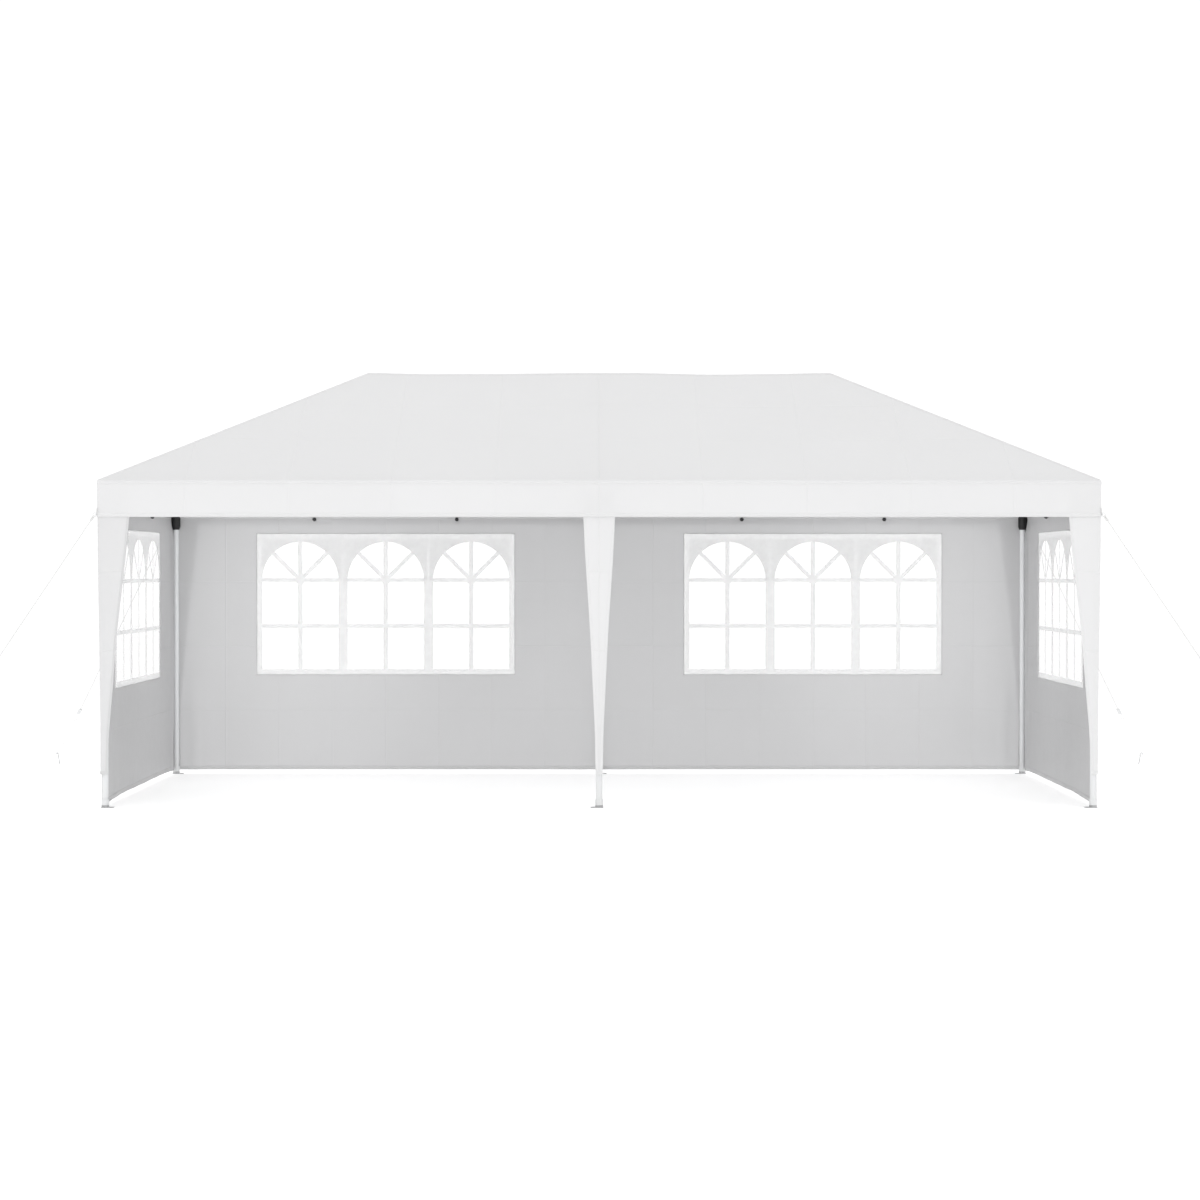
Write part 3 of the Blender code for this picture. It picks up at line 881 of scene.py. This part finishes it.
class Bay:
    """One wall: its middle, the way along it, the way out, and its window."""

    def __init__(self, wall, window, out):
        low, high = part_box(wall)
        self.low, self.high = low.z - WALL_SLACK, high.z
        self.out = Vector(out)
        self.along = UP.cross(self.out)
        span = high - low
        self.half = max(span.x, span.y) / 2
        middle = (low + high) / 2
        face = max(abs(low.dot(self.out)), abs(high.dot(self.out)))
        self.middle = middle - middle.dot(self.out) * self.out + face * self.out
        self.middle.z = 0
        low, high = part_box(window)
        self.window_half = max(high.x - low.x, high.y - low.y) / 2
        self.sill, self.head = low.z, high.z
        self.film_depth = face - max(abs(low.dot(self.out)), abs(high.dot(self.out)))
        self.seed = self.middle.x * 1.7 + self.middle.y * 0.9

    def spot(self, along, height, depth=0.0):
        """A spot at a height, so far along the wall from its middle and so deep inside its face."""
        place = self.middle + along * self.along - depth * self.out
        place.z = height
        return place

    def matrix(self, along=0.0):
        """Takes a piece drawn in the XZ plane, with its inside at -Y, to the wall."""
        columns = (-self.along, self.out, UP, self.spot(along, 0.0))
        return Matrix([[c[row] for c in columns] for row in range(3)] + [[0, 0, 0, 1]])

    def off_window(self, along, height):
        """How far a spot of the cloth is from the window."""
        return max(abs(along) - self.window_half, self.sill - height, height - self.head, 0.0)

    def ripple(self, along, height):
        """How far the hanging cloth stands inwards of its face."""
        free = ease(self.off_window(along, height), 0.0, 0.22)
        free *= ease(self.half - abs(along), 0.06, 0.32)
        free *= 1 - ease(height, 1.70, 1.78)
        wave = 0.55 + 0.75 * ripple(along * 2.9, height * 0.55, self.seed)
        wave += 0.35 * ripple(along * 7.5, height * 1.1, self.seed + 9)
        off_fold = (self.half - abs(along) - FOLD_FROM_EDGE) / FOLD_WIDTH
        fold = FOLD * ease(self.sill - height, 0.0, 0.2) * math.exp(-(off_fold**2))
        return WALL_RIPPLE * free * max(0.0, wave) + fold

    def cloth(self, along, height, lift=0.0):
        """A spot on the cloth's outer face, or lifted off it to the inside."""
        depth = self.ripple(along, height)
        depth += WALL_TO_FILM * (1 - ease(self.off_window(along, height), 0.0, 0.05))
        below_rail = ease(1.80 - height, 0.0, 0.16)
        from_edge = self.half - abs(along)
        drawn = WALL_DRAWN * below_rail * (1 - ease(from_edge, 0.08, 0.42))
        tied_back = TIED_BACK * ease(0.45 - height, 0.0, 0.25) * (1 - ease(from_edge, 0.0, 0.3))
        spot = self.spot(along, height)
        if self.out.y == 0 and spot.y > 0:
            depth += TUCK * below_rail * math.exp(-(((from_edge - TUCK_FROM_EDGE) / TUCK_WIDTH) ** 2))
        elif self.out.y == 0:
            height -= FRONT_DROP * ease(0.5 - height, 0.0, 0.45) * (1 - ease(from_edge, 0.0, 1.0))
        if abs(spot.x) > RIDGE_HALF:
            along -= math.copysign(drawn + tied_back, along)
        return self.spot(along, height, depth + drawn + lift)


BAYS = {}
for end, sx in ENDS.items():
    BAYS[f"back_{end}"] = Bay(f"back_wall_{end}", f"back_window_{end}", (0, 1, 0))
    BAYS[f"end_{end}"] = Bay(f"end_wall_{end}", f"end_window_{end}", (sx, 0, 0))


def make_wall(name, bay):
    """A hanging wall with its window cut out, and its hems on the inside."""
    gap = bay.window_half - WINDOW_LAP
    sill, head = bay.sill + WINDOW_LAP, bay.head - WINDOW_LAP
    us = spread(-bay.half, -gap, WALL_CELL)
    us += spread(-gap, gap, WALL_CELL * 2)[1:] + spread(gap, bay.half, WALL_CELL)[1:]
    vs = spread(bay.low, sill, WALL_CELL)
    vs += spread(sill, head, WALL_CELL * 2)[1:] + spread(head, bay.high, WALL_CELL)[1:]
    wall = cut_sheet(name, us, vs, bay.cloth)

    def in_window(face):
        middle = chart_middle(wall, face)
        return abs(middle.x) < gap and sill < middle.y < head

    drop_faces(wall, in_window)
    thicken(wall)
    lift = CLOTH + 0.0001 + HEM

    def inside(u, v):
        return bay.cloth(u, v, lift)

    half, clear = bay.half, 0.001
    bottom, top = bay.low + WALL_FOOT_HEM + clear, bay.high - WALL_TOP_HEM - clear
    between = [v for v in vs if bottom < v < top]
    strips = [
        (us, [bay.high - WALL_TOP_HEM, bay.high - WALL_TOP_HEM / 2, bay.high - CUT_EDGE]),
        (us, [bay.low + CUT_EDGE, bay.low + WALL_FOOT_HEM / 2, bay.low + WALL_FOOT_HEM]),
        ([-half + CUT_EDGE, -half + WALL_EDGE_HEM / 2, -half + WALL_EDGE_HEM], between),
        ([half - WALL_EDGE_HEM, half - WALL_EDGE_HEM / 2, half - CUT_EDGE], between),
    ]
    hems = []
    for hem_us, hem_vs in strips:
        hems.append(sewn_strip(hem_us, hem_vs, inside, lengthways=hem_vs is between))
    return wall, merge(name + "_hem", hems)


def make_window(name, bay):
    """The clear film of a window, drawn tight with faint waves in its panes."""
    us = spread(-bay.window_half, bay.window_half, 0.03)
    vs = spread(bay.sill, bay.head, 0.03)
    depth = bay.film_depth + 0.0002

    def place(u, v):
        edge = min(bay.window_half - abs(u), v - bay.sill, bay.head - v)
        wave = max(0.0, 0.6 + ripple(u * 3.5, v * 3.5, bay.seed)) * 0.0009 * ease(edge, 0.02, 0.12)
        return bay.spot(u, v, depth + 0.0009 - wave)

    return thicken(cut_sheet(name, us, vs, place), 0.0003)


def window_blocks(bay):
    """The printed pattern of one window, drawn round a wall's origin: border, spandrels and bars."""
    half, sill, head = bay.window_half, bay.sill, bay.head
    depth = bay.film_depth + PRINT_OFF_FILM
    near, far = -depth - PRINT, -depth
    lights = (-LIGHT_PITCH, 0.0, LIGHT_PITCH)
    inner = half - BORDER

    def slab(name, x0, x1, z0, z1, proud=0.0):
        return block(name, (x0, near - proud, z0), (x1, far + proud, z1))

    def disc(name, x, radius):
        return start(
            bpy.ops.mesh.primitive_cylinder_add, name, vertices=96, radius=radius, depth=0.02,
            location=(x, (near + far) / 2, SPRING_LINE), rotation=(math.pi / 2, 0, 0),
        )

    border = slab("window_border", -half, half, sill, head)
    edges = [-inner]
    for x in (-LIGHT_PITCH / 2, LIGHT_PITCH / 2):
        edges += [x - MULLION_STRIP / 2, x + MULLION_STRIP / 2]
    edges.append(inner)
    openings = list(zip(edges[::2], edges[1::2]))
    cut(border, [
        block("hole", (x0, near - CLEAR, sill + BORDER), (x1, far + CLEAR, head - BORDER))
        for x0, x1 in openings
    ])
    spandrels = []
    for x, (x0, x1) in zip(lights, openings):
        corner = slab("spandrel", x0, x1, SPRING_LINE, head - BORDER)
        below = block(
            "below", (x - LIGHT_HALF, near - CLEAR, SPRING_LINE - CLEAR),
            (x + LIGHT_HALF, far + CLEAR, SPRING_LINE + CLEAR / 10),
        )
        spandrels.append(cut(corner, [disc("arch", x, LIGHT_HALF), below]))
    spandrels = merge("window_spandrels", spandrels)
    light_bars = []
    foot = sill + BORDER
    for x, (x0, x1) in zip(lights, openings):
        transom, lower = (
            slab("bar", x0, x1, height - BAR_ACROSS / 2, height + BAR_ACROSS / 2, BAR_PROUD)
            for height in (SPRING_LINE, LOWER_BAR)
        )
        joined = [
            lower,
            slab("bar", x - BAR_UP / 2, x + BAR_UP / 2, foot, SPRING_LINE + LIGHT_HALF, UPRIGHT_PROUD),
            slab("jamb", x0, x - LIGHT_HALF, foot, SPRING_LINE, JAMB_PROUD),
            slab("jamb", x + LIGHT_HALF, x1, foot, SPRING_LINE, JAMB_PROUD),
        ]
        for turn in (-1, 1):
            proud = SPOKE_PROUD + SPOKE_STEP * turn
            spoke = slab("spoke", -SPOKE / 2, SPOKE / 2, 0.0, LIGHT_HALF, proud)
            tilt = Matrix.Rotation(turn * math.radians(45), 4, "Y")
            spoke.data.transform(Matrix.Translation((x, 0, SPRING_LINE)) @ tilt)
            joined.append(spoke)
        joined.append(settle(disc("hub", x, HUB_RADIUS)))
        cut(transom, joined, "UNION")
        level = slab("print", x0 - CLEAR, x1 + CLEAR, sill, head)
        light_bars.append(cut(transom, [level], "INTERSECT"))
    return border, spandrels, merge("window_bars", light_bars)


# Bungee balls


def ring(name, radius, thick, flat, centre):
    """A rolled metal ring that faces along Y, flattened along its axis."""
    made = start(
        bpy.ops.mesh.primitive_torus_add, name, major_radius=radius, minor_radius=thick,
        major_segments=28, minor_segments=10, location=centre, rotation=(math.pi / 2, 0, 0),
    )
    made.scale.z = flat
    return soften(settle(made))


def make_bungee():
    """A ball bungee at a wall's top, drawn at the origin of a wall: ball, elastic loop and eyelet."""
    depth = BALL_RADIUS + 0.0042
    ball = start(
        bpy.ops.mesh.primitive_uv_sphere_add, "bungee_ball", segments=32, ring_count=20,
        radius=BALL_RADIUS, location=(0, -depth, BALL_HEIGHT),
    )
    settle(ball)
    pick(ball, "FACE", lambda face: face.center.z > BALL_HEIGHT + BALL_RADIUS * 0.93)
    bpy.ops.mesh.inset(thickness=0.0008, depth=-0.0012)
    soften(ball, 40)
    rail = -(abs(BAYS["back_left"].middle.y) - RAIL_DEPTH)
    over = RAIL_RADIUS + BUNGEE_CORD + 0.0006
    loops = []
    for side in (-LOOP_HALF, LOOP_HALF):
        points = [
            (side * 0.5, -depth, BALL_HEIGHT + BALL_RADIUS * 0.7),
            (side, -depth, BALL_HEIGHT + BALL_RADIUS + 0.010),
        ]
        for step in range(9):
            angle = math.pi * step / 8
            points.append((side, rail - over * math.cos(angle), RAIL_HEIGHT + over * math.sin(angle)))
        points += [
            (side, -0.0060, EYELET_HEIGHT + 0.045),
            (side * 0.8, 0.0022, EYELET_HEIGHT + 0.006),
            (side * 0.6, 0.0022, EYELET_HEIGHT - 0.003),
            (side * 0.5, -0.004, EYELET_HEIGHT - 0.004),
            (side * 0.4, -depth + 0.004, BALL_HEIGHT + BALL_RADIUS * 0.5),
        ]
        loops.append(cord_along("loop", points, BUNGEE_CORD))
    loop = merge("bungee_loop", loops)
    eyelet = ring("bungee_eyelet", EYELET_RADIUS, EYELET_WIRE, 0.9, (0, -0.0012, EYELET_HEIGHT))
    return ball, loop, eyelet


# Guy ropes


def twisted_rope(name, first, second):
    """Three strands laid round each other between two spots."""
    run = second - first
    strand = ROPE_RADIUS / 2.155
    off = ROPE_RADIUS - strand
    circles = []
    for k in range(3):
        angle = math.tau * k / 3
        circle = start(
            bpy.ops.mesh.primitive_circle_add, "strand", vertices=7, radius=strand * 0.985,
            location=(off * math.cos(angle), off * math.sin(angle), 0),
        )
        circles.append(settle(circle))
    rope = merge(name, circles)
    turns = run.length / ROPE_TURN
    build_in(
        rope, "SCREW", axis="Z", angle=math.tau * turns, screw_offset=run.length,
        steps=max(8, round(turns * 9)), render_steps=max(8, round(turns * 9)), use_normal_calculate=True,
    )
    work_over(rope, bpy.ops.mesh.fill_holes, sides=0)
    outwards(rope)
    rope.data.transform(Matrix.Translation(first) @ run.to_track_quat("Z", "Y").to_matrix().to_4x4())
    return soften(rope, 60)


def helix(centre, axis, side, radius, pitch, turns, steps=12):
    """Points of a coil about an axis."""
    other = axis.cross(side)
    points = []
    for k in range(round(turns * steps) + 1):
        angle = math.tau * k / steps
        rise = pitch * k / steps
        points.append(centre + axis * rise + radius * (math.cos(angle) * side + math.sin(angle) * other))
    return points


def make_guy():
    """One guy line, drawn from a corner at the origin out along +X: rope, knots, ring, tab and runner."""
    low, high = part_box("guy_rope_front_right")
    corner = Vector((HALF_LENGTH, -HALF_DEPTH, 0))
    top_run = (Vector((low.x, high.y, 0)) - corner).length
    foot_run = (Vector((high.x, low.y, 0)) - corner).length
    top = Vector((top_run + 0.002, 0, high.z - 0.002))
    foot = Vector((foot_run - 0.003, 0, low.z + 0.002))
    along = (foot - top).normalized()
    side = Vector((0, 1, 0))
    across = along.cross(side)
    ring_centre = Vector((RING_RADIUS + 0.0040, 0, top.z - 0.012))
    rope_top = ring_centre + along * (RING_RADIUS - 0.002)
    runner = foot - along * RUNNER_FROM_PEG
    rope = twisted_rope("guy_rope", rope_top, runner + along * 0.012)
    spread_out = 0.009
    legs = []
    for sign in (-1, 1):
        begin = runner + along * 0.004 + side * sign * spread_out
        end = foot - along * 0.006 + side * sign * PEG_BEND
        legs.append(twisted_rope("leg", begin, end))
    bend = []
    for step in range(13):
        angle = math.pi * step / 12
        sideways = side * PEG_BEND * math.cos(angle)
        bend.append(foot - along * 0.006 + sideways + along * 0.0085 * math.sin(angle))
    legs.append(cord_along("bend", bend, ROPE_RADIUS * 0.95))
    knots = []
    for start_of_knot, turns in ((rope_top + along * 0.018, 3.2), (runner - along * 0.028, 2.4)):
        coil = helix(start_of_knot, along, side, KNOT_RADIUS, KNOT_PITCH, turns)
        knots.append(cord_along("knot", coil, KNOT_CORD))
    eye = []
    for step in range(15):
        angle = math.pi * (0.25 + 1.5 * step / 14)
        eye.append(rope_top + along * (0.008 + 0.012 * math.cos(angle)) + across * 0.006 * math.sin(angle))
    knots.append(cord_along("eye", eye, KNOT_CORD))
    lines = merge("guy_line", [rope] + legs + knots)
    plate = make_runner(runner - along * 0.004, along, side)
    metal = ring("guy_ring", RING_RADIUS, RING_WIRE, 1.0, ring_centre)
    return lines, plate, metal, make_tab(ring_centre - Vector((RING_RADIUS, 0, 0)), side)


def make_runner(centre, along, side):
    """The flat runner with three holes that tightens the rope."""
    plate = block("guy_runner", -RUNNER_HALF, RUNNER_HALF)
    drill = {"vertices": 20, "radius": RUNNER_HOLE, "depth": 0.02}
    holes = []
    for x, y in RUNNER_HOLES:
        holes.append(start(bpy.ops.mesh.primitive_cylinder_add, "hole", location=(x, y, 0), **drill))
    build_in(plate, "BEVEL", width=0.0008, segments=2)
    cut(plate, holes)
    turned = Matrix((along, side, along.cross(side))).transposed().to_4x4()
    plate.data.transform(Matrix.Translation(centre) @ turned)
    return soften(plate, 30)


def make_tab(wire, side):
    """The webbing tab on the valance, folded round the ring's wire."""
    path = [Vector((-0.0003, 0, wire.z + TAB_LENGTH)), Vector((0.0008, 0, wire.z + TAB_LENGTH / 2))]
    for step in range(11):
        angle = math.radians(110 - 29 * step)
        path.append(wire + 0.0034 * Vector((math.cos(angle), 0, math.sin(angle))))
    path += [Vector((-0.0012, 0, wire.z + TAB_LENGTH / 2)), Vector((-0.0017, 0, wire.z + TAB_LENGTH))]
    half = TAB_WIDTH / 2
    tab = cut_sheet(
        "guy_tab", list(range(len(path))), [-half, 0.0, half], lambda k, v: path[k] + v * side
    )
    return thicken(tab, 0.001)


# Make and dress everything

roof = make_roof()
seams = make_roof_seams()
valance_hem = make_valance_hem()
dress(roof, ROOF_CLOTH, "roof_cloth", "roof_cover")
dress(seams, ROOF_HEM, "roof_cloth")
dress(valance_hem, ROOF_HEM, "roof_cloth")
roof_area = 4 * HALF_LENGTH * HALF_DEPTH / math.cos(math.atan(SLOPE))
roof_area += 4 * (HALF_LENGTH + HALF_DEPTH) * VALANCE_DROP

cover_widths = [cover_width(height) for height in spread(COVER_LOW.z, COVER_HIGH.z, 0.005)]
for side_name, sy in SIDES.items():
    for place_name, sx in PLACES.items():
        node = f"leg_cover_{side_name}_{place_name}"
        corner = sx != 0
        place = corner_cover_place(sx, sy) if corner else middle_cover_place(sy)
        flaps = 2 if corner else 1
        cover, hem = make_cover(f"{node}_cloth", place, flaps * COVER_WIDE / 2, corner)
        # The left covers take the darker copies, the others the roof's own cloth: painted shade on the
        # left.
        dress(cover, LEFT_COVER_SHADED_CLOTH if sx < 0 else ROOF_CLOTH, "roof_cloth", node)
        dress(hem, LEFT_COVER_SHADED_HEM if sx < 0 else ROOF_HEM, "roof_cloth")

for name, bay in BAYS.items():
    kind, end = name.split("_")
    wall, hem = make_wall(f"{kind}_wall_{end}_cloth", bay)
    # End walls take the darker copies of the wall cloth and hem: painted shade.
    cloth, hem_cloth = (SHADED_WALL_CLOTH, WALL_HEM) if kind == "back" else (SHADED_END_CLOTH, SHADED_END_HEM)
    dress(wall, cloth, "wall_cloth", f"{kind}_wall_{end}")
    dress(hem, hem_cloth, "wall_cloth")
    film = dress(make_window(f"{kind}_window_{end}_film", bay), FILM, "clear_film", f"{kind}_window_{end}")

patterns = window_blocks(BAYS["back_left"])
prints = (BORDER_PRINT, SPANDREL_PRINT, BAR_PRINT)
bungee = make_bungee()
bungee_finishes = ((BALL_PLASTIC, "black_plastic"), (ELASTIC, "rope_yarn"), (ZINC, "zinc"))
for name, bay in BAYS.items():
    for pattern, finish in zip(patterns, prints):
        made = copy_of(pattern, f"{name}_{pattern.name}", bay.matrix())
        dress(made, finish, "clear_film")
    for number, along in enumerate((-bay.half / 3, bay.half / 3), 1):
        for piece, (finish, slot) in zip(bungee, bungee_finishes):
            made = copy_of(piece, f"{name}_{piece.name}_{number}", bay.matrix(along))
            dress(made, finish, slot)
discard(*patterns, *bungee)

guy = make_guy()
steel = (WHITE_STEEL, "white_steel")
guy_finishes = ((ROPE, "rope_yarn"), steel, steel, (WEBBING, "roof_cloth"))
for side_name, sy in SIDES.items():
    for end, sx in ENDS.items():
        corner = Matrix.Translation((sx * HALF_LENGTH, sy * HALF_DEPTH, 0))
        turned = corner @ Matrix.Rotation(math.atan2(sy, sx), 4, "Z")
        name = f"{side_name}_{end}"
        for piece, (finish, slot) in zip(guy, guy_finishes):
            made = copy_of(piece, f"{piece.name}_{name}", turned)
            stands_for = [f"guy_rope_{name}"] if finish is ROPE else []
            dress(made, finish, slot, *stands_for)
discard(*guy)

kept_finishes = {"white_steel": WHITE_STEEL, "black_plastic": BLACK_PLASTIC, "zinc": ZINC}
for entry in frame["record"]["subparts"]:
    finish = kept_finishes.get(entry["material_slot"])
    if finish:
        node = frame["nodes"][entry["node"]]
        for slot in node.material_slots:
            slot.material = FOOT_STEEL if entry["node"].startswith("foot_") else finish

# Floor, lights and camera

floor = start(bpy.ops.mesh.primitive_plane_add, "pale_floor", size=120)
floor.data.materials.append(floor_finish())

BACKDROP = 1.08
SIDE_LIGHT = 0.85
DIM_FROM, DIM_TO = 0.25, 0.85
world = bpy.data.worlds.new("studio")
bpy.context.scene.world = world
world.use_nodes = True
nodes, wires = world.node_tree.nodes, world.node_tree.links
kinds = ("TexCoord", "SeparateXYZ", "Math", "MapRange")
direction, parted, facing, dimmed = (nodes.new("ShaderNode" + kind) for kind in kinds)
facing.operation = "ABSOLUTE"
dimmed.interpolation_type = "SMOOTHSTEP"
for socket, value in zip(dimmed.inputs[1:5], (DIM_FROM, DIM_TO, BACKDROP, BACKDROP * SIDE_LIGHT)):
    socket.default_value = value
nodes["Background"].inputs["Color"].default_value = (1.0, 1.0, 1.0, 1.0)
wires.new(direction.outputs["Generated"], parted.inputs[0])
wires.new(parted.outputs["X"], facing.inputs[0])
wires.new(facing.outputs[0], dimmed.inputs[0])
wires.new(dimmed.outputs[0], nodes["Background"].inputs["Strength"])
bpy.context.scene.view_settings.view_transform = "Standard"


def soft_light(name, place, target, width, height, power, spread_angle=180):
    """A soft light panel aimed at a spot, itself out of the picture."""
    let_go()
    bpy.ops.object.light_add(type="AREA", location=place)
    light = bpy.context.object
    light.name = name
    light.data.shape = "RECTANGLE"
    light.data.size, light.data.size_y = width, height
    light.data.energy = power
    light.data.spread = math.radians(spread_angle)
    light.rotation_euler = (Vector(target) - Vector(place)).to_track_quat("-Z", "Y").to_euler()
    light.visible_camera = False


soft_light("key_light", (-4.0, -17.0, 3.0), (0, -1, 1.4), 7.0, 7.0, 130)
soft_light("opening_light", (0, -1.42, 1.0), (0, 0, 1.0), 5.6, 1.4, 1.2, 70)
for end, sx in ENDS.items():
    soft_light(f"corner_light_{end}", (sx * 2.2, -1.42, 1.3), (sx * 2.3, 0, 1.3), 1.0, 1.0, 1.1, 70)
    soft_light(f"leg_light_{end}", (sx * 0.9, -0.9, 1.1), (sx * 2.9, 1.4, 1.1), 0.6, 1.6, 2.3, 75)

CAMERA_DISTANCE = 17.4
CAMERA_HEIGHT = 1.42
CAMERA_TILT = math.radians(0.58)
CAMERA_SIDE = 0.005
CAMERA_LENS = 87.18
FRONT_PLANE = 1.46
let_go()
bpy.ops.object.camera_add(
    location=(CAMERA_SIDE, -(FRONT_PLANE + CAMERA_DISTANCE), CAMERA_HEIGHT),
    rotation=(math.radians(90) - CAMERA_TILT, 0, 0),
)
camera = bpy.context.object
camera.name = "photo_camera"
camera.data.sensor_width = 36
camera.data.lens = CAMERA_LENS
camera.data.clip_end = 200
bpy.context.scene.camera = camera
